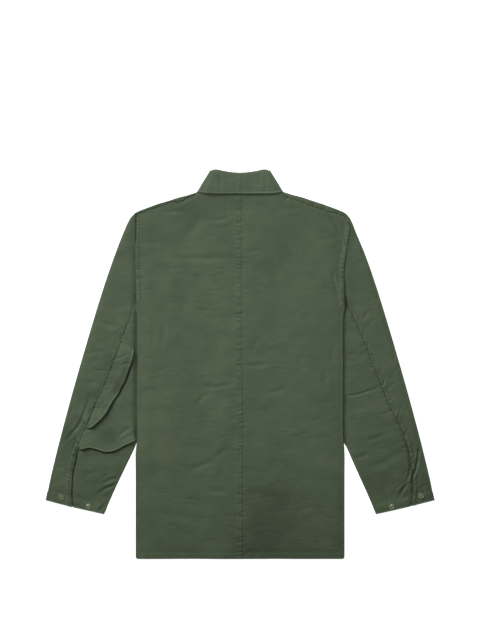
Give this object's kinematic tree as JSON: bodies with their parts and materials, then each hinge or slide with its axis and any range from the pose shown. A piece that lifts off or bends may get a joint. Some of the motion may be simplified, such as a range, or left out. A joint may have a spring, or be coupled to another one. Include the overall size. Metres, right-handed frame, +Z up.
{
  "type": "overshirt",
  "caption": "Olive cotton overshirt laid flat with its back up: shirt collar, centre-back seam, two-piece sleeves with snap-fastened ends, plain hem.",
  "frame": {"origin": "on the floor under the centre of the laid garment's box", "axes": "+Z up from the floor, +Y from the hem towards the collar, +X towards the wearer's right sleeve, with the back up"},
  "size_m": [0.815, 0.815, 0.0079],
  "materials": {
    "cloth": "matte",
    "snap": "satin"
  },
  "bodies": {
    "root": {"back_left": "cloth", "back_right": "cloth", "front_left": "cloth", "front_right": "cloth", "top_sleeve_left": "cloth", "top_sleeve_right": "cloth", "under_sleeve_left": "cloth", "under_sleeve_right": "cloth", "collar_fall": "cloth", "collar_stand": "cloth", "cuff_cap_left": "snap", "cuff_cap_right": "snap", "cuff_stud_left": "snap", "cuff_stud_right": "snap", "front_snap_1": "snap", "front_snap_2": "snap", "front_snap_3": "snap", "front_snap_4": "snap", "front_snap_5": "snap", "front_snap_6": "snap"}
  },
  "joints": []
}
